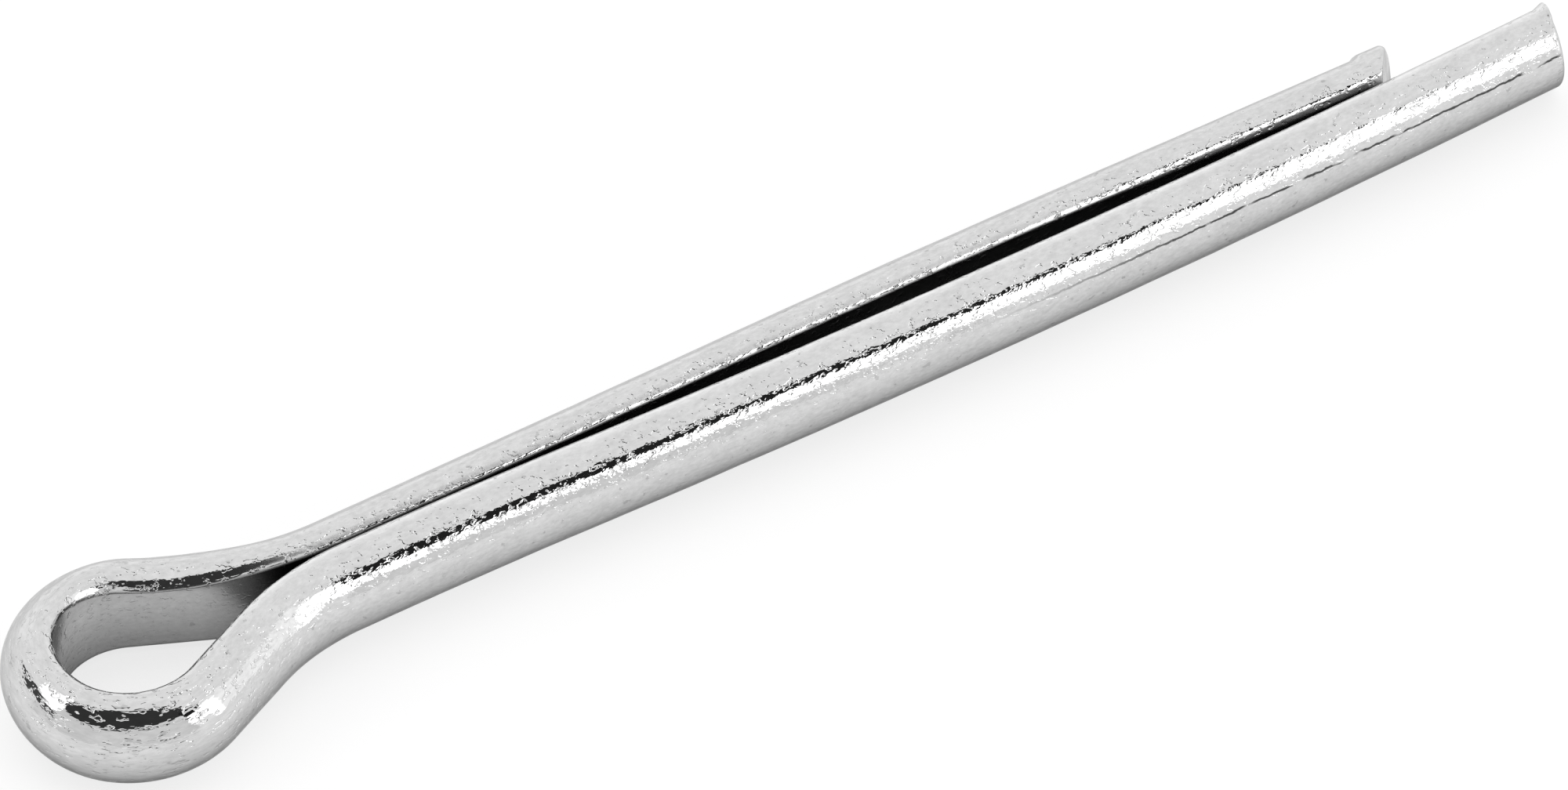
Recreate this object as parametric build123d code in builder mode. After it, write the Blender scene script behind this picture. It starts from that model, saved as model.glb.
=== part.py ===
from build123d import *

# Cotter pin with extended prong: one length of half-round wire folded back on itself.
#
# The pin lies flat. X runs along the shank from the eye towards the cut ends, Y is across the two
# legs and Z is up, and the middle of the wire is at Z = 0. The origin is on the shank's axis where
# the neck ends and the legs begin. Lengths are in millimetres and angles in degrees.

import os
from math import cos, radians, sin, sqrt, tan

# The wire: a D section, whose flat faces the other leg and the inside of the eye
wire_radius = 2.75
corner_radius = 0.72

# The eye: a flatter end arc between two tighter side arcs
eye_end_radius = 4.3
eye_end_half_angle = 19.5
eye_side_radius = 3.3

# The neck, where each side of the eye swings in to the shank
neck_angle = 26.3
neck_radius = 13.7
throat_gap = 0.2

# The legs, as lengths along X from the neck
short_leg_length = 62.2
prong_extension = 9.8

# How each leg is sprung: it spreads, then bows back towards the other leg, and ends straight
long_spread_angle = 2.3
long_spread_length = 12.8
long_return_angle = 4.2
long_tail_length = 3.2
short_spread_angle = 0.4
short_spread_length = 22.8
short_return_angle = 1.35
short_tail_length = 21.4

# The sheared ends: how far each cut leans off square, seen from above and from the side
long_shear_yaw = 12.1
long_shear_pitch = 7.2
short_shear_yaw = 41.0
short_shear_pitch = 9.0
shear_allowance = 3.0

# The lip that the blade raised round the long end's upper inside corner
burr_height = 0.3
burr_length = 1.5
burr_root_depth = 0.12

# The short end, which the blade swelled upwards and outwards and then rolled over
swelling_height = 0.095
swelling_length = 1.5
swelling_ramp = 0.6
short_rollover = 0.5

long_leg_length = short_leg_length + prong_extension


def corner_centre_height(radius):
    """How far from the middle the corner arcs' centres are, for arcs that touch flat and round."""
    return sqrt((radius - corner_radius) ** 2 - corner_radius**2)


# The eye and the neck, worked out so that the flats meet the shank at the throat gap
shoulder_y = (
    (eye_end_radius - eye_side_radius) * sin(radians(eye_end_half_angle))
    + eye_side_radius * cos(radians(neck_angle))
)
neck_drop = neck_radius * (1 - cos(radians(neck_angle)))
taper_length = (shoulder_y - neck_drop - throat_gap / 2) / sin(radians(neck_angle))
eye_depth = (
    eye_end_radius
    - (eye_end_radius - eye_side_radius) * cos(radians(eye_end_half_angle))
    + (eye_side_radius + neck_radius) * sin(radians(neck_angle))
    + taper_length * cos(radians(neck_angle))
)


def leg_line(side, spread_angle, spread_length, return_angle, tail_length, leg_length, tail_end):
    """The line of the wire's flat, from the end of the eye to where one leg's sweep stops.

    The sweep stops at the length tail_end beyond the leg's nominal length.
    """
    return_length = leg_length - spread_length - tail_length
    with BuildLine() as line:
        end_arc = JernArc((-eye_depth, 0), (0, side), eye_end_radius, -side * eye_end_half_angle)
        side_turn = 90 - eye_end_half_angle + neck_angle
        side_arc = JernArc(end_arc @ 1, end_arc % 1, eye_side_radius, -side * side_turn)
        taper = Line(side_arc @ 1, side_arc @ 1 + (side_arc % 1) * taper_length)
        neck = JernArc(taper @ 1, taper % 1, neck_radius, side * neck_angle)
        spread_radius = spread_length / radians(spread_angle)
        spread = JernArc(neck @ 1, neck % 1, spread_radius, side * spread_angle)
        return_radius = return_length / radians(return_angle)
        bow = JernArc(spread @ 1, spread % 1, return_radius, -side * return_angle)
        Line(bow @ 1, bow @ 1 + (bow % 1) * (tail_length + tail_end))
    return line.line


def wire_section(plane, radius):
    """The wire's D section on a plane whose X axis points from the flat to the round."""
    corner_height = corner_centre_height(radius)
    touch = radius / (radius - corner_radius)
    with BuildSketch(plane) as section:
        with BuildLine():
            flat = Line((0, -corner_height), (0, corner_height))
            back = ThreePointArc(
                (touch * corner_radius, touch * corner_height),
                (radius, 0),
                (touch * corner_radius, -touch * corner_height),
            )
            TangentArc(flat @ 1, back @ 0, tangent=(0, 1))
            TangentArc(flat @ 0, back @ 1, tangent=(0, -1))
        make_face()
    return section.sketch


def eye_plane(side):
    """The plane across the wire at the end of the eye, looking along one side of the eye."""
    return Plane(origin=(-eye_depth, 0, 0), x_dir=(-1, 0, 0), z_dir=(0, side, 0))


def tail_plane(line, distance, height):
    """The plane across the short leg this far past the end of its line, and this much higher."""
    heading = line % 1
    outward = Vector(-heading.Y, heading.X, 0)
    origin = line @ 1 + heading * distance + Vector(0, 0, height)
    return Plane(origin=origin, x_dir=outward, z_dir=heading)


def shear_plane(leg_length, yaw, pitch):
    """The plane the blade cut along: it leans forwards towards +Y, and backwards towards the top."""
    return Plane(origin=(leg_length, 0, 0), z_dir=(1, -tan(radians(yaw)), tan(radians(pitch))))


def lip_plane(line, flare_length):
    """The plane across the long leg's upper inside corner, this far before the end of its line."""
    heading = line % 1
    outward = Vector(heading.Y, -heading.X, 0)
    corner = outward * corner_radius + Vector(0, 0, corner_centre_height(wire_radius))
    return Plane(origin=line @ 1 + corner - heading * flare_length, z_dir=heading)


short_line = leg_line(
    1,
    short_spread_angle,
    short_spread_length,
    short_return_angle,
    short_tail_length,
    short_leg_length,
    -swelling_length,
)
long_line = leg_line(
    -1,
    long_spread_angle,
    long_spread_length,
    long_return_angle,
    long_tail_length,
    long_leg_length,
    shear_allowance,
)
swollen_radius = wire_radius + swelling_height
swelling_lift = corner_centre_height(swollen_radius) - corner_centre_height(wire_radius)
flare_length = burr_length + shear_allowance
flare_growth = (burr_height + burr_root_depth) / burr_length

with BuildPart() as cotter_pin:
    # The short leg, up to where its end begins to swell
    sweep(sections=wire_section(eye_plane(1), wire_radius), path=short_line)

    # The swollen end: its underside stays level, and the sides and the top grow
    loft(
        sections=[
            wire_section(tail_plane(short_line, 0, 0), wire_radius),
            wire_section(tail_plane(short_line, swelling_ramp, swelling_lift), swollen_radius),
        ],
        ruled=True,
    )
    extrude(
        wire_section(tail_plane(short_line, swelling_ramp, swelling_lift), swollen_radius),
        amount=swelling_length + shear_allowance,
    )
    short_cut = shear_plane(short_leg_length, short_shear_yaw, short_shear_pitch)
    split(bisect_by=short_cut, keep=Keep.BOTTOM)
    fillet(faces().sort_by(Axis.X)[-1].edges(), radius=short_rollover)

    # The long leg, with the lip where the blade came out
    sweep(sections=wire_section(eye_plane(-1), wire_radius), path=long_line)
    with Locations(lip_plane(long_line, flare_length)):
        Cone(
            corner_radius - burr_root_depth,
            corner_radius - burr_root_depth + flare_growth * flare_length,
            flare_length,
            align=(Align.CENTER, Align.CENTER, Align.MIN),
        )
    long_cut = shear_plane(long_leg_length, long_shear_yaw, long_shear_pitch)
    split(bisect_by=long_cut, keep=Keep.BOTTOM)

cotter_pin.part.label = "cotter_pin"

os.makedirs("parts", exist_ok=True)
export_step(cotter_pin.part, "parts/cotter_pin.step")

print(f"length under the eye {short_leg_length:.1f}, overall {eye_depth + wire_radius + long_leg_length:.1f}")
print(f"eye {2 * (shoulder_y + wire_radius):.2f} wide at the shoulder, taper {taper_length:.2f} long")
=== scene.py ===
# %% [markdown]
# # A cotter pin in bright zinc plate
#
# A cotter pin is one length of half-round wire, folded back on itself so that the flats of its two
# legs meet. The fold is left open as an eye. This lesson makes the visible surface of the pin as one
# numpy grid that follows the wire, gives it the plated finish, and lights it like a small studio.
#
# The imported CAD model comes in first. It fixes the frame: X runs along the shank from the eye
# towards the cut ends, Y goes across the legs, Z is up, and the pin lies on the floor.

# %% Load the fixed frame
import math

import bpy
import numpy as np
from mathutils import Matrix, Vector


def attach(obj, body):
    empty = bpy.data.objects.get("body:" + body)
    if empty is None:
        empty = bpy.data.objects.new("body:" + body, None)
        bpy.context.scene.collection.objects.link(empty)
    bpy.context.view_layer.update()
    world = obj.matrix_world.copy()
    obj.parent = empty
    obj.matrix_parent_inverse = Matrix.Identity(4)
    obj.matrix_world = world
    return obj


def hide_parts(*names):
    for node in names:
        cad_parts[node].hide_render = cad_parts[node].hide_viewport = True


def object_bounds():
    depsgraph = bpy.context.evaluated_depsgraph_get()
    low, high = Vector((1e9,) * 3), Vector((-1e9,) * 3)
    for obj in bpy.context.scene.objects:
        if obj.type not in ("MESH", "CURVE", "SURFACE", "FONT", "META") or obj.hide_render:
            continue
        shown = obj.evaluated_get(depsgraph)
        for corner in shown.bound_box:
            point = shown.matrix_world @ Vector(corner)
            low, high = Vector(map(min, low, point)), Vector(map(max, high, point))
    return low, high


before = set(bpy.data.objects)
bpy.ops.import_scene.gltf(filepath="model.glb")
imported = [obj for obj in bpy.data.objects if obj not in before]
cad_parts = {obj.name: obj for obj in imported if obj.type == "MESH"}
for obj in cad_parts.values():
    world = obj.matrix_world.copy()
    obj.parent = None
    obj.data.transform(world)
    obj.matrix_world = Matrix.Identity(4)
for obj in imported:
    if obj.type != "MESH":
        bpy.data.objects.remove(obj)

cad_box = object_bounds()
print("CAD box, metres:", cad_box)

# %% [markdown]
# ## The wire's line
#
# The flat of the wire starts at the end of the eye and runs down both sides: a flatter arc, a tight
# side arc, a straight taper, the long arc of the neck, and then the sprung leg. A chain of arcs
# could be a curve object, but here each arc has a closed formula, and a whole row of lengths can be
# turned into points with one array expression. Every leg is a list of pairs: how long, and how far
# it turns. All these numbers are millimetres and degrees, the same ones that the CAD part uses.

# %% Dimensions
WIRE_RADIUS = 2.75
CORNER_RADIUS = 0.72

EYE_END_RADIUS, EYE_END_HALF_ANGLE = 4.3, 19.5
EYE_SIDE_RADIUS = 3.3
NECK_RADIUS, NECK_ANGLE = 13.7, 26.3
THROAT_GAP = 0.2

SHORT_LEG = 62.2
LONG_LEG = 72.0
SPRING = {
    "short": dict(spread=(22.8, 0.4), tail=21.4, back=1.35),
    "long": dict(spread=(12.8, 2.3), tail=3.2, back=4.2),
}
SIDE = {"short": 1, "long": -1}
LEG = {"short": SHORT_LEG, "long": LONG_LEG}
# How far the last straight stretch goes on past the tip, and a millimetre in metres
PAST_TIP = 8.0
MM = 0.001

neck_turn = math.radians(NECK_ANGLE)
end_turn = math.radians(EYE_END_HALF_ANGLE)
shoulder_y = (
    (EYE_END_RADIUS - EYE_SIDE_RADIUS) * math.sin(end_turn)
    + EYE_SIDE_RADIUS * math.cos(neck_turn)
)
neck_drop = NECK_RADIUS * (1 - math.cos(neck_turn))
TAPER = (shoulder_y - neck_drop - THROAT_GAP / 2) / math.sin(neck_turn)
EYE_DEPTH = (
    EYE_END_RADIUS
    - (EYE_END_RADIUS - EYE_SIDE_RADIUS) * math.cos(end_turn)
    + (EYE_SIDE_RADIUS + NECK_RADIUS) * math.sin(neck_turn)
    + TAPER * math.cos(neck_turn)
)
print(f"the flat's eye is {EYE_DEPTH:.2f} mm deep, its taper {TAPER:.2f} mm long")


# %% The arcs of one side
def arcs_of(leg):
    """The lengths and turns, in millimetres and radians, from the end of the eye to past one tip."""
    spring = SPRING[leg]
    spread_length, spread_angle = spring["spread"]
    back_length = LEG[leg] - spread_length - spring["tail"]
    side_turn = math.radians(90 - EYE_END_HALF_ANGLE + NECK_ANGLE)
    lengths = [
        EYE_END_RADIUS * end_turn, EYE_SIDE_RADIUS * side_turn, TAPER, NECK_RADIUS * neck_turn,
        spread_length, back_length, spring["tail"] + PAST_TIP,
    ]
    turns = [
        -end_turn, -side_turn, 0, neck_turn,
        math.radians(spread_angle), -math.radians(spring["back"]), 0,
    ]
    return np.array(lengths), np.array(turns)


def along(leg, length):
    """Where the flat is, and its heading, this far along one side of the wire.

    An arc of curvature k, started at heading h, has gone after a length d along a chord that points
    at h + k d / 2 and is as long as d times sin(k d / 2) / (k d / 2). The arcs are laid end to end,
    and each length looks up the arc that it falls on. The other side of the pin is the mirror image.
    """
    lengths, turns = arcs_of(leg)
    starts = np.concatenate([[0], np.cumsum(lengths)])
    headings = np.pi / 2 + np.concatenate([[0], np.cumsum(turns)])
    curvature = turns / lengths
    chord = lengths * np.sinc(turns / (2 * np.pi))
    x = -EYE_DEPTH + np.concatenate([[0], np.cumsum(chord * np.cos(headings[:-1] + turns / 2))])
    y = np.concatenate([[0], np.cumsum(chord * np.sin(headings[:-1] + turns / 2))])
    arc = np.clip(np.searchsorted(starts, length, side="right") - 1, 0, len(lengths) - 1)
    gone = length - starts[arc]
    half_turn = curvature[arc] * gone / 2
    reach = gone * np.sinc(half_turn / np.pi)
    heading = headings[arc] + 2 * half_turn
    side = SIDE[leg]
    px = x[arc] + reach * np.cos(headings[arc] + half_turn)
    py = y[arc] + reach * np.sin(headings[arc] + half_turn)
    return px, side * py, np.cos(heading), side * np.sin(heading)


LEG_START = {leg: float(arcs_of(leg)[0][:4].sum()) for leg in LEG}
for leg, start in LEG_START.items():
    print(f"the {leg} leg starts {start:.2f} mm from the end of the eye")

# %% [markdown]
# ## The D section
#
# The wire was rolled half-round, so its section is a D with soft corners. The outline is cut into
# six stretches, and the columns are shared out between them: many round the corners, where the
# light turns fastest, and few on the flat. On the long side the upper inside corner is a plain arc.
# Bending wore it on the short side: there it is a wide arc that ends in a tight one at the flat,
# widest in the eye. A profile that changes along its path is easy here, because each row of the
# grid may have its own numbers.

# %% The upper inside corner along the wire
# The wide arc's radius, the angle at which the tight arc meets it, and the tight arc's radius
PLAIN_CORNER = np.array([CORNER_RADIUS, math.radians(12), CORNER_RADIUS])
EYE_CORNER = np.array([1.45, math.radians(37), 0.12])
LEG_CORNER = np.array([1.05, math.radians(29), 0.1])
TIP_CORNER = np.array([1.15, math.radians(12), 0.12])
# Where each corner takes over from the one before, in millimetres from the end of the eye
CORNER_STEPS = {"eye": (3.2, 8.5), "leg": (9.5, 16.0), "tip": (56.0, 76.0)}
print("the short side's corner changes at", CORNER_STEPS)


def smooth_step(value, start, stop):
    """0 before start, 1 after stop, and t^2 (3 - 2 t) in between."""
    t = np.clip((value - start) / (stop - start), 0, 1)
    return t * t * (3 - 2 * t)


def top_corner(leg, length):
    """The corner's three numbers, in the order given above, for a column of lengths."""
    if leg == "long":
        return [value + 0 * length for value in PLAIN_CORNER]
    eye, straight, tip = (smooth_step(length, *span) for span in CORNER_STEPS.values())
    return [
        plain + (bent - plain) * eye + (worn - bent) * straight + (end - worn) * tip
        for plain, bent, worn, end in zip(PLAIN_CORNER, EYE_CORNER, LEG_CORNER, TIP_CORNER)
    ]


# %% Columns round the section
FLAT_COLUMNS, TIGHT_COLUMNS, CORNER_COLUMNS, ROUND_COLUMNS, LOW_COLUMNS = 7, 5, 14, 48, 12


def d_section(radius, corner):
    """Outward and upward places of the section's points, and their normals, for a column of radii.

    Each arc touches the next. A corner arc of radius c that touches the round of radius r has its
    centre r - c from the middle, so one of its coordinates gives the other. The tight arc's centre
    stands its own radius e from the flat, and the wide arc's centre lies beyond it by c - e, along
    the normal at the angle where they meet.
    """
    wide, meet, tight = corner
    c = CORNER_RADIUS
    low = np.sqrt((radius - c) ** 2 - c**2)
    touch_low = np.arctan2(low, c)
    centre_out = tight + (wide - tight) * np.cos(meet)
    centre_up = np.sqrt((radius - wide) ** 2 - centre_out**2)
    tight_up = centre_up + (wide - tight) * np.sin(meet)
    touch = np.arctan2(centre_up, centre_out)

    def share(columns):
        return np.linspace(0, 1, columns, endpoint=False)[None, :]

    angles = [
        np.pi + 0 * meet * share(FLAT_COLUMNS),
        np.pi - meet * share(TIGHT_COLUMNS),
        np.pi - meet + (touch - np.pi + meet) * share(CORNER_COLUMNS),
        touch - (touch + touch_low) * share(ROUND_COLUMNS),
        -touch_low + (touch_low - np.pi) * share(LOW_COLUMNS),
        np.pi + 0 * meet * share(FLAT_COLUMNS),
    ]
    radii = [0, tight, wide, radius, c, 0]
    centres = [
        (0, tight_up * share(FLAT_COLUMNS)),
        (tight, tight_up),
        (centre_out, centre_up),
        (0, 0),
        (c, -low),
        (0, low * (share(FLAT_COLUMNS) - 1)),
    ]
    out = [centre[0] + r * np.cos(angle) for centre, r, angle in zip(centres, radii, angles)]
    up = [centre[1] + r * np.sin(angle) for centre, r, angle in zip(centres, radii, angles)]
    angle = np.concatenate(angles, axis=1)
    return np.concatenate(out, axis=1), np.concatenate(up, axis=1), np.cos(angle), np.sin(angle)


one = np.ones((1, 1))
section = d_section(WIRE_RADIUS * one, [value * one for value in PLAIN_CORNER])
COLUMNS = section[0].shape[1]
thickness, section_height = section[0].max(), 2 * section[1].max()
print(f"{COLUMNS} columns round a section {thickness:.2f} mm thick and {section_height:.2f} mm high")

# %% [markdown]
# ## The sheared ends
#
# A blade cut each leg along a leaning plane. The last rows of the grid slide along the wire until
# they lie on that plane, and then turn over the edge in a small arc. The arc is tight at the flat
# and wider on the round side, and wider still on the short leg, where the blade rolled the edge
# over. It swelled that end too, outwards and upwards. On the long leg a lip stands up at the
# inside corner, where the blade came out. A boolean could cut the ends as well, but rows that
# slide onto the plane keep the grid whole, so the shading stays smooth.

# %% Sizes of the cut ends
# The cut's lean in degrees, and the radius of its edge at the flat and at the back of the round
CUT = {
    "short": dict(yaw=41.0, pitch=9.0, edge=0.2, back_edge=0.5),
    "long": dict(yaw=12.1, pitch=7.2, edge=0.08, back_edge=0.42),
}
SWELLING, SWELLING_START, SWELLING_RAMP = 0.095, SHORT_LEG - 1.1, 0.4
# The outward parts of the normal between which the swelling fades in
SWELLING_SIDE = (-0.3, 0.4)
LIP_START, LIP_GROWTH, LIP_ROOT = LONG_LEG - 1.5, 0.28, 0.6
ROW_PITCH = 0.21
# The tail is where the rows lean over, and they get closer together towards the tip by this power
TAIL_LENGTH, TAIL_POWER = 6.0, 1.35
TAIL_ROWS, EDGE_ROWS, CAP_ROWS = 34, 9, 12
for leg, cut in CUT.items():
    print(leg, "cut:", cut)


# %% Rows of one side
def swollen_radius(leg, distance):
    """The wire's radius at this distance along the leg: it grows on the short leg's last stretch."""
    if leg == "long":
        return WIRE_RADIUS + 0 * distance
    grown = smooth_step(distance, SWELLING_START, SWELLING_START + SWELLING_RAMP)
    return WIRE_RADIUS + SWELLING * grown


def centre_height(radius):
    """How far a plain corner's centre is from the middle."""
    return np.sqrt((radius - CORNER_RADIUS) ** 2 - CORNER_RADIUS**2)


def section_per_point(radius, corner):
    """The D section where each point has its own radius: a mix of a plain and a swollen one."""
    small = d_section(WIRE_RADIUS + 0 * corner[0], corner)
    large = d_section(WIRE_RADIUS + SWELLING + 0 * corner[0], corner)
    share = (radius - WIRE_RADIUS) / SWELLING
    return [a + (b - a) * share for a, b in zip(small, large)]


def raise_lip(leg, distance, out, up):
    """Pushes points away from the long leg's upper inside corner, out to the lip's own radius."""
    if leg == "short":
        return out, up
    c, high = CORNER_RADIUS, centre_height(WIRE_RADIUS)
    reach = np.hypot(out - c, up - high)
    lip = LIP_ROOT + LIP_GROWTH * np.clip(distance - LIP_START, 0, None)
    push = np.maximum(1, lip / reach)
    return c + (out - c) * push, high + (up - high) * push


def place(leg, length, out, up):
    """Points of the wire: the flat's place, plus out along the outward normal, plus up along Z."""
    x, y, hx, hy = along(leg, length)
    side = SIDE[leg]
    return np.stack([x - side * hy * out, y + side * hx * out, up], axis=-1)


def leans(leg):
    """How far the cut leans forwards per millimetre of Y, and backwards per millimetre of Z."""
    return (math.tan(math.radians(CUT[leg][angle])) for angle in ("yaw", "pitch"))


def cut_length(leg, out, up):
    """How far along the wire each point of the tail meets the cut's plane.

    The plane is x = leg + y tan(yaw) - z tan(pitch), and the tail is straight, so one step of
    Newton's rule along the heading gives the exact length.
    """
    guess = LEG_START[leg] + LEG[leg] + 0 * out
    x, y, hx, hy = along(leg, guess)
    point = place(leg, guess, out, up)
    lean_y, lean_z = leans(leg)
    miss = LEG[leg] + lean_y * point[..., 1] - lean_z * point[..., 2] - point[..., 0]
    return guess + miss / (hx - lean_y * hy)


def side_rows(leg):
    """The rows of one side, from the end of the eye to the rim of the cut face.

    Far from the tip a row is one length. In the tail the rows lean over steadily until they are
    parallel to the cut. An edge of radius r on a corner whose cut leans by g per millimetre of
    outward travel starts r (g + sqrt(1 + g^2)) before the sharp corner, and its arc turns through
    90 degrees plus atan(g).
    """
    tip = LEG_START[leg] + LEG[leg]
    tail_start = tip - TAIL_LENGTH
    body_rows = int(tail_start / ROW_PITCH) + 1
    body = np.linspace(0, tail_start, body_rows)[:, None] + np.zeros((1, COLUMNS))

    end_radius = swollen_radius(leg, LEG[leg] * one)
    lift = centre_height(end_radius) - centre_height(WIRE_RADIUS)
    end_out, end_up, end_no, end_nu = d_section(end_radius, top_corner(leg, tip * one))
    sharp = cut_length(leg, end_out, end_up + lift)
    lean_y, lean_z = leans(leg)
    slope = SIDE[leg] * lean_y * end_no - lean_z * end_nu
    cut = CUT[leg]
    edge = cut["edge"] + (cut["back_edge"] - cut["edge"]) * np.clip(end_no, 0, 1)
    start = sharp - edge * (slope + np.sqrt(1 + slope**2))

    f = np.linspace(0, 1, TAIL_ROWS + 1)[1:, None]
    tail = tail_start + (start - tail_start) * (1 - (1 - f) ** TAIL_POWER)
    turn = np.linspace(0, 1, EDGE_ROWS + 1)[1:, None] * (np.pi / 2 + np.arctan(slope))
    length = np.concatenate([body, tail, start + edge * np.sin(turn)])
    inset = np.concatenate([0 * body, 0 * tail, edge * (1 - np.cos(turn))])

    growth = swollen_radius(leg, length - LEG_START[leg]) - WIRE_RADIUS
    radius = WIRE_RADIUS + growth * smooth_step(end_no, *SWELLING_SIDE)
    corner = top_corner(leg, length.mean(axis=1, keepdims=True))
    out, up, n_out, n_up = section_per_point(radius, corner)
    up = up + centre_height(radius) - centre_height(WIRE_RADIUS)
    out, up = raise_lip(leg, length - LEG_START[leg], out, up)
    return length, out - inset * n_out, up - inset * n_up, n_out, n_up


for leg in LEG:
    print(leg, "side has", side_rows(leg)[0].shape[0], "rows before its cap")

# %% [markdown]
# ## Relief
#
# Wire comes through its rolls and its plating bath a little uneven, and a mirror-bright finish shows
# that at once: the edges of every reflection break up. The large unevenness, a millimetre and more
# across, belongs in the mesh, so that it is there in any light. It is a cubic spline through a grid
# of random numbers. Nearly all of it sinks into the wire, and what would stand out of the CAD
# model's box is moved back to it, so that the pin keeps its size. The finer grain comes later, as
# bump in the material.

# %% Uneven rolling
# Millimetres: how deep the relief lies on average, the height of each layer, and the limits
SINK, WAVE_HEIGHT, RIPPLE_HEIGHT = -0.013, 0.007, 0.0024
DEEPEST, HIGHEST = -0.04, 0.002
# Each layer's pitch along the wire in millimetres, and how often it repeats round the wire
WAVE_PITCH, WAVES_ROUND = 1.7, 9
RIPPLE_PITCH, RIPPLES_ROUND = 0.6, 20
rng = np.random.default_rng(62)
print(f"relief from {DEEPEST} to {HIGHEST} mm, in waves of {WAVE_PITCH} and {RIPPLE_PITCH} mm")


def spline_noise(u, v, period):
    """A smooth random height at (u, v), periodic in v: a cubic B-spline over a random lattice.

    Round each point the four nearest lattice lines weigh (1-t)^3, 3t^3-6t^2+4, -3t^3+3t^2+3t+1 and
    t^3, all over 6, in each direction.
    """
    lattice = rng.standard_normal((int(u.max() - u.min()) + 6, period))
    u = u - u.min() + 1
    iu, iv = np.floor(u).astype(int), np.floor(v).astype(int)
    tu, tv = u - iu, v - iv

    def weights(t):
        return [
            (1 - t) ** 3 / 6,
            (3 * t**3 - 6 * t**2 + 4) / 6,
            (-3 * t**3 + 3 * t**2 + 3 * t + 1) / 6,
            t**3 / 6,
        ]

    height = 0
    for a, wu in enumerate(weights(tu)):
        for b, wv in enumerate(weights(tv)):
            height = height + wu * wv * lattice[iu + a - 1, (iv + b - 1) % period]
    return height


# %% [markdown]
# ## One grid for the whole wire
#
# The short side is turned round and joined to the long side at the end of the eye, so the rows run
# from one tip to the other without a seam, and each end closes in a cap with one point at its pole.
# Every point also keeps where it was in the straight wire before it was bent: length, outward,
# upward. The material reads that attribute, so the drawn streaks follow the bends.

# %% Build the grid
def cap(ring, rows):
    """A ring, shrunk to its middle in steps: middle + (ring - middle) times the share left."""
    middle = ring.mean(axis=0, keepdims=True)
    share = (1 - np.arange(1, rows) / rows)[:, None, None]
    return middle + (ring - middle) * share, middle


def wire_surface():
    """All rows from the short tip to the long one: points, normals and unbent places."""
    rows, unbent, normals = {}, {}, {}
    for leg in LEG:
        length, out, up, n_out, n_up = side_rows(leg)
        x, y, hx, hy = along(leg, length)
        side = SIDE[leg]
        rows[leg] = place(leg, length, out, up)
        normals[leg] = np.stack([-side * hy * n_out, side * hx * n_out, n_up], axis=-1)
        unbent[leg] = np.stack([-side * length, out, up], axis=-1)
    # The short side runs backwards, and its first row is the long side's first row again
    points = np.concatenate([rows["short"][:0:-1], rows["long"]])
    normal = np.concatenate([normals["short"][:0:-1], normals["long"]])
    straight = np.concatenate([unbent["short"][:0:-1], unbent["long"]])
    return points, normal, straight


points, normals, straight = wire_surface()
length = straight[..., 0]
around = np.arange(COLUMNS)[None, :] / COLUMNS + 0 * length
waves = spline_noise(length / WAVE_PITCH, around * WAVES_ROUND, WAVES_ROUND)
ripple = spline_noise(length / RIPPLE_PITCH, around * RIPPLES_ROUND, RIPPLES_ROUND)
relief = np.clip(SINK + WAVE_HEIGHT * waves + RIPPLE_HEIGHT * ripple, DEEPEST, HIGHEST)
points = points + normals * relief[..., None]
points = np.clip(points, np.array(cad_box[0]) / MM, np.array(cad_box[1]) / MM)

short_cap, short_pole = cap(points[0], CAP_ROWS)
long_cap, long_pole = cap(points[-1], CAP_ROWS)
short_flat, short_flat_pole = cap(straight[0], CAP_ROWS)
long_flat, long_flat_pole = cap(straight[-1], CAP_ROWS)
grid = np.concatenate([short_cap[::-1], points, long_cap])
flat_grid = np.concatenate([short_flat[::-1], straight, long_flat])
ROWS = grid.shape[0]
print(f"{ROWS} rows of {COLUMNS} points, relief {relief.min():.3f} to {relief.max():.3f} mm")


# %% Put the grid into a mesh
def closed_tube(rows, columns):
    """Quads of a grid that closes round its columns, then a fan of triangles to each pole.

    Seen from outside, the corners of every face go round counterclockwise, so it faces outwards.
    """
    row = np.arange(rows - 1)[:, None] * columns
    here = np.arange(columns)[None, :]
    there = (here + 1) % columns
    corners = [row + here, row + there, row + columns + there, row + columns + here]
    quads = np.stack(corners, axis=-1).reshape(-1, 4)
    first, last = rows * columns, rows * columns + 1
    here, there = here[0], there[0]
    top = (rows - 1) * columns
    start = np.stack([there, here, np.full(columns, first)], axis=-1)
    finish = np.stack([top + here, top + there, np.full(columns, last)], axis=-1)
    return quads, np.concatenate([start, finish])


def mesh_from_arrays(name, vertices, quads, triangles):
    """A mesh filled straight from arrays: places, corners of faces, and where each face starts."""
    mesh = bpy.data.meshes.new(name)
    mesh.vertices.add(len(vertices))
    mesh.vertices.foreach_set("co", vertices.astype(np.float32).ravel())
    corners = np.concatenate([quads.ravel(), triangles.ravel()])
    mesh.loops.add(len(corners))
    mesh.loops.foreach_set("vertex_index", corners.astype(np.int32))
    starts = np.concatenate([np.arange(len(quads)) * 4, quads.size + np.arange(len(triangles)) * 3])
    mesh.polygons.add(len(quads) + len(triangles))
    mesh.polygons.foreach_set("loop_start", starts.astype(np.int32))
    mesh.update(calc_edges=True)
    mesh.validate()
    mesh.shade_smooth()
    return mesh


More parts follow.
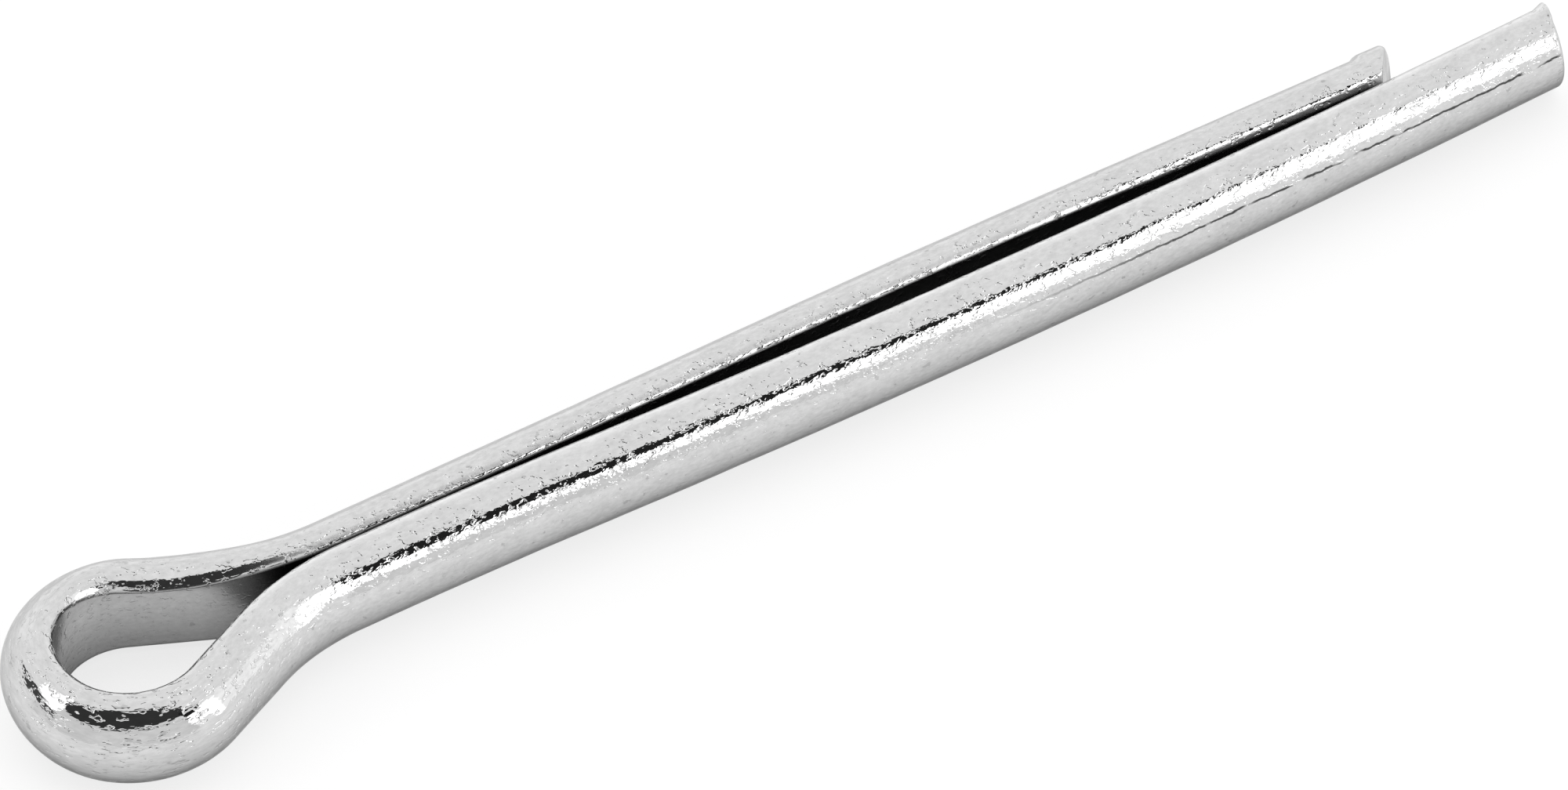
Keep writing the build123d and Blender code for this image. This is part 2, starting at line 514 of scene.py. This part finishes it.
vertices = np.concatenate([grid.reshape(-1, 3), short_pole, long_pole]) * MM
quads, triangles = closed_tube(ROWS, COLUMNS)
pin_mesh = mesh_from_arrays("pin_wire", vertices, quads, triangles)
unbent = np.concatenate([flat_grid.reshape(-1, 3), short_flat_pole, long_flat_pole]) * MM
attribute = pin_mesh.attributes.new("unbent", "FLOAT_VECTOR", "POINT")
attribute.data.foreach_set("vector", unbent.astype(np.float32).ravel())
pin = bpy.data.objects.new("pin_wire", pin_mesh)
bpy.context.scene.collection.objects.link(pin)
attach(pin, "root")
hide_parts("cotter_pin")

tri = np.concatenate([quads[:, :3], quads[:, [0, 2, 3]], triangles])
a, b, c = vertices[tri[:, 0]], vertices[tri[:, 1]], vertices[tri[:, 2]]
volume = float(np.einsum("ij,ij->i", a, np.cross(b, c)).sum() / 6) / MM**3
print(f"{len(tri)} triangles, volume {volume:.0f} cubic mm, positive when the faces point outwards")

# %% [markdown]
# ## Bright zinc plate
#
# Zinc plate on rolled wire is a mirror with a fine grain: light tent, dark gaps and lamps all show
# in it, broken at their edges. Under the grain run the lines of the rolls, along the wire, and here
# and there is a nick or a dark speck of plating. Little light gets between the legs, so the flats
# are darker there. Painted light goes into the colour as well: painted shade on the low side, a
# painted highlight on the long leg's upper inside corner, and a painted dark reflection along the
# long leg. A picture could hold all this, but noise textures on the unbent coordinate give the same
# grain from tip to tip, have no seam, and follow the bends.


# %% A few words for making nodes
def add(tree, kind, **settings):
    """A new node, with its sockets and properties set by name."""
    new = tree.nodes.new(kind)
    for key, value in settings.items():
        if key in new.inputs:
            new.inputs[key].default_value = value
        else:
            setattr(new, key, value)
    return new


def wire_up(tree, source, target):
    """Joins an output socket to an input socket."""
    tree.links.new(source, target)


def maths(tree, operation, a, b=None):
    """One Math node: a and b are numbers or sockets."""
    new = tree.nodes.new("ShaderNodeMath")
    new.operation = operation
    for socket, value in zip(new.inputs, (a, b)):
        if value is None:
            continue
        if hasattr(value, "is_output"):
            tree.links.new(value, socket)
        else:
            socket.default_value = value
    return new.outputs[0]


def rescale(tree, value, low, high, to_low=0.0, to_high=1.0, kind="SMOOTHSTEP"):
    """Maps a socket's range to another, with soft ends."""
    new = tree.nodes.new("ShaderNodeMapRange")
    new.interpolation_type = kind
    tree.links.new(value, new.inputs["Value"])
    range_ends = {"From Min": low, "From Max": high, "To Min": to_low, "To Max": to_high}
    for key, number in range_ends.items():
        new.inputs[key].default_value = number
    return new.outputs["Result"]


def rise(tree, value, start, stop):
    """0 before start and 1 after stop, both in millimetres of the unbent wire."""
    return rescale(tree, value, start * MM, stop * MM)


def fall(tree, value, start, stop):
    """1 before start and 0 after stop, both in millimetres of the unbent wire."""
    return rescale(tree, value, start * MM, stop * MM, 1, 0)


def product(tree, first, *others):
    """All the numbers or sockets multiplied together."""
    for other in others:
        first = maths(tree, "MULTIPLY", first, other)
    return first


def less(tree, mask, share):
    """1 - share * mask: a factor that takes this share away where the mask is 1."""
    return maths(tree, "SUBTRACT", 1.0, maths(tree, "MULTIPLY", mask, share))


def weighted(tree, weights, **sockets):
    """The weight named base, plus the sum of each socket times the weight of the same name."""
    total = weights["base"]
    for name, socket in sockets.items():
        total = maths(tree, "ADD", total, maths(tree, "MULTIPLY", socket, weights[name]))
    return total


def noise(tree, where, stretch, scale, detail=2.0, roughness=0.5):
    """Noise on the unbent wire: a small stretch in one direction makes the grain long there."""
    mapping = add(tree, "ShaderNodeMapping")
    mapping.inputs["Scale"].default_value = stretch
    wire_up(tree, where, mapping.inputs["Vector"])
    texture = add(tree, "ShaderNodeTexNoise", Scale=scale, Detail=detail, Roughness=roughness)
    wire_up(tree, mapping.outputs["Vector"], texture.inputs["Vector"])
    return texture.outputs["Fac"]


# %% How strongly each mark shows
# Tones of the base colour. The weight for the long leg's upper inside corner is a painted highlight,
# for light that the short leg throws onto it
TONE = dict(base=0.435, cloud=0.28, mottle=0.14, specks=-0.15, long_edge=0.11)
# The low side's painted shade, and the darkness of the painted reflection line, as shares taken from
# the brightness
UNDERSIDE_SHADE, PAINTED_REFLECTION_DARKNESS = 0.48, 0.88
# The share of light that the flats lose at the throat, and deep in the gap between the legs
THROAT_SHADE, GAP_SHADE = 0.28, 0.78
# Specular tint at the top, and a lower one on the low side, which is painted shade in its
# reflections
EDGE_TINT, UNDERSIDE_SHADE_TINT = 0.72, 0.34
SMOOTHEST, DULLEST = 0.02, 0.05
ROUGHNESS = dict(worn_rim=0.30, near_tip=0.15, on_flat=0.25)
DEPTH = dict(base=0.0, grain=0.46, rolls=0.12, peel=0.6, specks=-0.4)
NICK_DEPTH = dict(base=0.40, rough_spots=0.5, stretched=0.7)
FLAT_CALM = 0.65
BUMP_DISTANCE = 0.028 * MM
# The painted reflection line: how high it lies on the long leg, and how far it wavers, in
# millimetres
REFLECTED_LINE_HEIGHT, REFLECTED_LINE_WAVER = 1.08, 0.2
print("tones:", TONE)
print("depths:", DEPTH)

# %% The plated finish
plate = bpy.data.materials.new("zinc_plated_steel")
plate.use_nodes = True
tree = plate.node_tree
shader = tree.nodes["Principled BSDF"]
shader.inputs["Metallic"].default_value = 1.0
where = add(tree, "ShaderNodeAttribute", attribute_name="unbent").outputs["Vector"]
split = add(tree, "ShaderNodeSeparateXYZ")
wire_up(tree, where, split.inputs[0])
run, out, up = split.outputs

# Masks from where a point was on the straight wire: the flat, the upper inside corner of either
# leg, the rim beside the short leg's flat, the stretched metal of the eye, the low side, the tip
from_eye = maths(tree, "ABSOLUTE", run)
short_tip, long_tip = LEG_START["short"] + SHORT_LEG, LEG_START["long"] + LONG_LEG
on_flat = fall(tree, out, 0.02, 0.12)
inner_edge = product(tree, fall(tree, out, 0.6, 1.0), rise(tree, up, 1.4, 1.9))
short_edge = product(tree, inner_edge, fall(tree, run, -16, -11))
# The long leg's upper inside corner, which gets a painted highlight in the brightness
long_edge = product(tree, inner_edge, rise(tree, run, 8, 14))
rim = product(tree, rise(tree, out, 0.13, 0.19), fall(tree, out, 0.32, 0.45))
worn_rim = product(tree, rim, short_edge, fall(tree, from_eye, 56, 66))
stretched = fall(tree, from_eye, 8, 12)
# The low side, darker towards the bottom: painted shade, for the pin's shadow on the floor that the
# metal mirrors there
painted_underside_shade = rescale(tree, up, -1.8 * MM, 0.8 * MM, 1, 0, "LINEAR")
near_tip = rise(tree, run, long_tip - 1.6, long_tip - 0.9)
rough_spots = maths(tree, "MAXIMUM", short_edge, near_tip)

# A painted dark reflection along the long leg: a fine dark line where the metal would mirror a
# dark band of the room. It wavers, fades in, and is broken in places
waver = maths(tree, "MULTIPLY", noise(tree, where, (0.8, 1, 1), 2200), REFLECTED_LINE_WAVER * MM)
above_reflected_line = maths(tree, "SUBTRACT", maths(tree, "ADD", up, waver), REFLECTED_LINE_HEIGHT * MM)
line = product(
    tree,
    fall(tree, maths(tree, "ABSOLUTE", above_reflected_line), 0.03, 0.08),
    rise(tree, out, 1.8, 2.0),
    rise(tree, run, 50, 66),
    fall(tree, run, long_tip - 1.4, long_tip - 0.9),
    rescale(tree, noise(tree, where, (0.4, 1, 1), 1500), 0.29, 0.42),
)

# Patterns, each with its stretch along the wire, outwards and upwards, and its fineness per metre
grain = noise(tree, where, (0.6, 1, 1), 3600, roughness=0.6)
peel = noise(tree, where, (0.7, 1, 1), 1100)
rolls = noise(tree, where, (0.02, 1, 1), 5000)
cloud = noise(tree, where, (0.5, 1, 1), 5200, detail=3.0, roughness=0.6)
mottle = noise(tree, where, (0.6, 1, 1), 900, detail=3.0, roughness=0.6)
specks = rescale(tree, noise(tree, where, (0.7, 1.1, 0.9), 2900), 0.66, 0.73)
nicks = rescale(tree, noise(tree, where, (0.7, 0.9, 1.1), 3300), 0.56, 0.66)

# Brightness: the patterns with the painted highlight, times what the painted shade of the low side
# and of the gap, and the painted reflection line, leave of it
deep_in_gap = rescale(tree, from_eye, 10 * MM, 15.5 * MM, THROAT_SHADE, GAP_SHADE)
gap = product(tree, on_flat, deep_in_gap, fall(tree, from_eye, short_tip - 1.2, short_tip + 0.4))
bright = product(
    tree,
    weighted(tree, TONE, cloud=cloud, mottle=mottle, specks=specks, long_edge=long_edge),
    less(tree, painted_underside_shade, UNDERSIDE_SHADE),
    less(tree, gap, 1.0),
    less(tree, line, PAINTED_REFLECTION_DARKNESS),
)
colour = add(tree, "ShaderNodeCombineColor")
for channel in ("Red", "Green", "Blue"):
    wire_up(tree, bright, colour.inputs[channel])
wire_up(tree, colour.outputs["Color"], shader.inputs["Base Color"])
tint = rescale(tree, painted_underside_shade, 0, 1, EDGE_TINT, UNDERSIDE_SHADE_TINT, "LINEAR")
wire_up(tree, tint, shader.inputs["Specular Tint"])

plain_roughness = rescale(tree, mottle, 0.3, 0.7, SMOOTHEST, DULLEST)
weights = dict(ROUGHNESS, base=plain_roughness)
rough = weighted(tree, weights, worn_rim=worn_rim, near_tip=near_tip, on_flat=on_flat)
wire_up(tree, rough, shader.inputs["Roughness"])

# Depth: the patterns and the nicks, calmer on the flat. Specks stand out. The Bump node is turned
# round, so that it takes a large value as deep
depth = weighted(tree, DEPTH, grain=grain, rolls=rolls, peel=peel, specks=specks)
nick_depth = weighted(tree, NICK_DEPTH, rough_spots=rough_spots, stretched=stretched)
depth = maths(tree, "ADD", depth, product(tree, nicks, nick_depth))
depth = product(tree, depth, less(tree, on_flat, FLAT_CALM))
bump = add(tree, "ShaderNodeBump", Strength=1.0, Distance=BUMP_DISTANCE, invert=True)
wire_up(tree, depth, bump.inputs["Height"])
wire_up(tree, bump.outputs["Normal"], shader.inputs["Normal"])
pin_mesh.materials.append(plate)
print("finish:", plate.name, "with", len(tree.nodes), "nodes")

# %% [markdown]
# ## The studio
#
# Polished metal shows the room more than itself. The room here is a light tent: pale all round,
# with a softbox to the front right and one to the left, both brighter than the tent, a dark opening
# for the camera, and a dark gap under the left softbox. It could be a room of glowing cards, but
# panels painted on the world are exact and cast no stray light on the floor's edge. The floor is
# white card. It gets its white towards the camera, and in the metal, from Light Path, not from more
# light, and it keeps the soft shadow of the pin.

# %% The floor
FLOOR_REACH = 0.9
CARD_TONE, CARD_GLOW = 0.34, 0.73

floor_mesh = bpy.data.meshes.new("floor")
near, far, low = -FLOOR_REACH, FLOOR_REACH, float(cad_box[0][2])
corners = [(near, near, low), (far, near, low), (far, far, low), (near, far, low)]
floor_mesh.from_pydata(corners, [], [(0, 1, 2, 3)])
floor = bpy.data.objects.new("floor", floor_mesh)
bpy.context.scene.collection.objects.link(floor)

card = bpy.data.materials.new("white_card")
card.use_nodes = True
tree = card.node_tree
tree.nodes.clear()
rays = add(tree, "ShaderNodeLightPath")
matt = add(tree, "ShaderNodeBsdfDiffuse", Color=(CARD_TONE, CARD_TONE, CARD_TONE, 1))
glow = add(tree, "ShaderNodeEmission", Color=(1, 1, 1, 1))
seen = maths(tree, "MAXIMUM", rays.outputs["Is Camera Ray"], rays.outputs["Is Transmission Ray"])
seen = maths(tree, "MAXIMUM", seen, rays.outputs["Is Glossy Ray"])
wire_up(tree, maths(tree, "MULTIPLY", seen, CARD_GLOW), glow.inputs["Strength"])
both = add(tree, "ShaderNodeAddShader")
wire_up(tree, matt.outputs[0], both.inputs[0])
wire_up(tree, glow.outputs[0], both.inputs[1])
finish = add(tree, "ShaderNodeOutputMaterial")
wire_up(tree, both.outputs[0], finish.inputs["Surface"])
floor_mesh.materials.append(card)
print(f"floor at {low / MM:.2f} mm, {2 * FLOOR_REACH:.1f} m wide")

# %% The light tent, drawn on a chart of directions
TENT = 1.05
PANELS = [
    # what it is, its strength, how many degrees its edge takes, and its corners counterclockwise,
    # as azimuth and elevation in degrees
    ("shaded front", 0.87, 3.0, [(150, -6), (300, -6), (291, 16), (287, 40), (150, 40)]),
    ("glow on the right", 1.28, 4.0, [(318, -10), (332, -10), (338, 14), (330, 38), (316, 36)]),
    ("glow at the far side", 1.18, 12.0, [(15, -12), (105, -12), (105, 28), (15, 28)]),
    ("right softbox", 2.2, 0.7, [
        (288, 17), (296, 12.5), (309, 12), (311, 35), (303, 36), (297, 33.5), (288, 30),
    ]),
    ("its far end", 2.2, 2.0, [(306, 9), (313, -1), (319, -4), (320, 32), (308, 35)]),
    ("left softbox", 2.2, 0.8, [
        (139, 31), (163, 23), (166, 33), (160, 49), (151, 57), (143, 50), (137, 41),
    ]),
    ("camera opening", 0.045, 1.2, [
        (174, 34), (289, 40), (294, 50), (284, 65), (262, 73),
        (205, 71), (180, 64), (160, 56), (160, 46),
    ]),
    ("its right corner", 0.02, 0.5, [
        (286, 45), (287, 28), (296, 31.8), (304, 35.5), (310, 38), (304, 40.5), (297, 44.5),
    ]),
    ("gap under the left softbox", 0.08, 0.8, [
        (118, 16), (136, 13), (168, 15), (170, 22), (138, 27),
    ]),
]


def panel_mask(tree, chart, corners, edge):
    """1 inside a convex panel on the chart, 0 outside.

    For the side from P to Q, the signed distance of a place X is n . (X - P), where n is Q - P
    turned by 90 degrees and made one long. The mask is the product of a smooth step across each.
    """
    mask = None
    for start, stop in zip(corners, corners[1:] + corners[:1]):
        dx, dy = stop[0] - start[0], stop[1] - start[1]
        size = math.hypot(dx, dy)
        line = (-dy / size, dx / size, (dy * start[0] - dx * start[1]) / size)
        inside = add(tree, "ShaderNodeVectorMath", operation="DOT_PRODUCT")
        wire_up(tree, chart, inside.inputs[0])
        inside.inputs[1].default_value = line
        step = rescale(tree, inside.outputs["Value"], -edge / 2, edge / 2)
        mask = step if mask is None else maths(tree, "MULTIPLY", mask, step)
    return mask


world = bpy.data.worlds.new("light_tent")
bpy.context.scene.world = world
world.use_nodes = True
tree = world.node_tree
tree.nodes.clear()
direction = add(tree, "ShaderNodeSeparateXYZ")
wire_up(tree, add(tree, "ShaderNodeTexCoord").outputs["Generated"], direction.inputs[0])
x, y, z = direction.outputs
west, south = maths(tree, "MULTIPLY", x, -1.0), maths(tree, "MULTIPLY", y, -1.0)
turned = maths(tree, "ARCTAN2", south, west)
chart = add(tree, "ShaderNodeCombineXYZ", Z=1.0)
azimuth = maths(tree, "ADD", maths(tree, "DEGREES", turned), 180.0)
wire_up(tree, azimuth, chart.inputs["X"])
wire_up(tree, maths(tree, "DEGREES", maths(tree, "ARCSINE", z)), chart.inputs["Y"])
level = TENT
for name, strength, edge, corners in PANELS:
    mask = panel_mask(tree, chart.outputs[0], corners, edge)
    blend = add(tree, "ShaderNodeMix")
    wire_up(tree, mask, blend.inputs["Factor"])
    blend.inputs["B"].default_value = strength
    if hasattr(level, "is_output"):
        wire_up(tree, level, blend.inputs["A"])
    else:
        blend.inputs["A"].default_value = level
    level = blend.outputs["Result"]
rays = add(tree, "ShaderNodeLightPath")
tent = add(tree, "ShaderNodeBackground", Color=(1, 1, 1, 1))
wire_up(tree, level, tent.inputs["Strength"])
backdrop = add(tree, "ShaderNodeBackground", Color=(1, 1, 1, 1), Strength=1.0)
choose = add(tree, "ShaderNodeMixShader")
wire_up(tree, rays.outputs["Is Camera Ray"], choose.inputs[0])
wire_up(tree, tent.outputs[0], choose.inputs[1])
wire_up(tree, backdrop.outputs[0], choose.inputs[2])
finish = add(tree, "ShaderNodeOutputWorld")
wire_up(tree, choose.outputs[0], finish.inputs["Surface"])
print("tent with", len(PANELS), "panels")

# %% [markdown]
# ## The camera
#
# The photograph looks down at the pin from the eye's side, with a long lens. The camera's angles,
# its distance and its lens were found by matching the outlines of the model to the photograph's.
# Its target is a point on the pin, and the camera stands back from there along its viewing line.

# %% Camera
AZIMUTH, ELEVATION, ROLL = -31.956, 43.965, -1.098
DISTANCE, TARGET = 0.3379, Vector((0.02465, -0.001305, 0.0))
# How many metres wide the picture is at the target, and the sensor's width in millimetres
WIDTH_AT_TARGET = 2.0 / 26.0
SENSOR_WIDTH = 36
NEAREST = 0.01

az, el, roll = (math.radians(v) for v in (AZIMUTH, ELEVATION, ROLL))
back = Vector((math.sin(az) * math.cos(el), -math.cos(az) * math.cos(el), math.sin(el)))
level_right = Vector((math.cos(az), math.sin(az), 0))
level_up = back.cross(level_right)
right = level_right * math.cos(roll) + level_up * math.sin(roll)
up = level_up * math.cos(roll) - level_right * math.sin(roll)
camera_data = bpy.data.cameras.new("camera")
camera_data.sensor_width = SENSOR_WIDTH
camera_data.lens = SENSOR_WIDTH * DISTANCE / WIDTH_AT_TARGET
camera_data.clip_start = NEAREST
camera = bpy.data.objects.new("camera", camera_data)
axes = Matrix((right, up, back)).transposed().to_4x4()
camera.matrix_world = Matrix.Translation(TARGET + back * DISTANCE) @ axes
bpy.context.scene.collection.objects.link(camera)
bpy.context.scene.camera = camera
bpy.context.scene.view_settings.view_transform = "Standard"
print(f"lens {camera_data.lens:.1f} mm at {DISTANCE * 1000:.0f} mm")
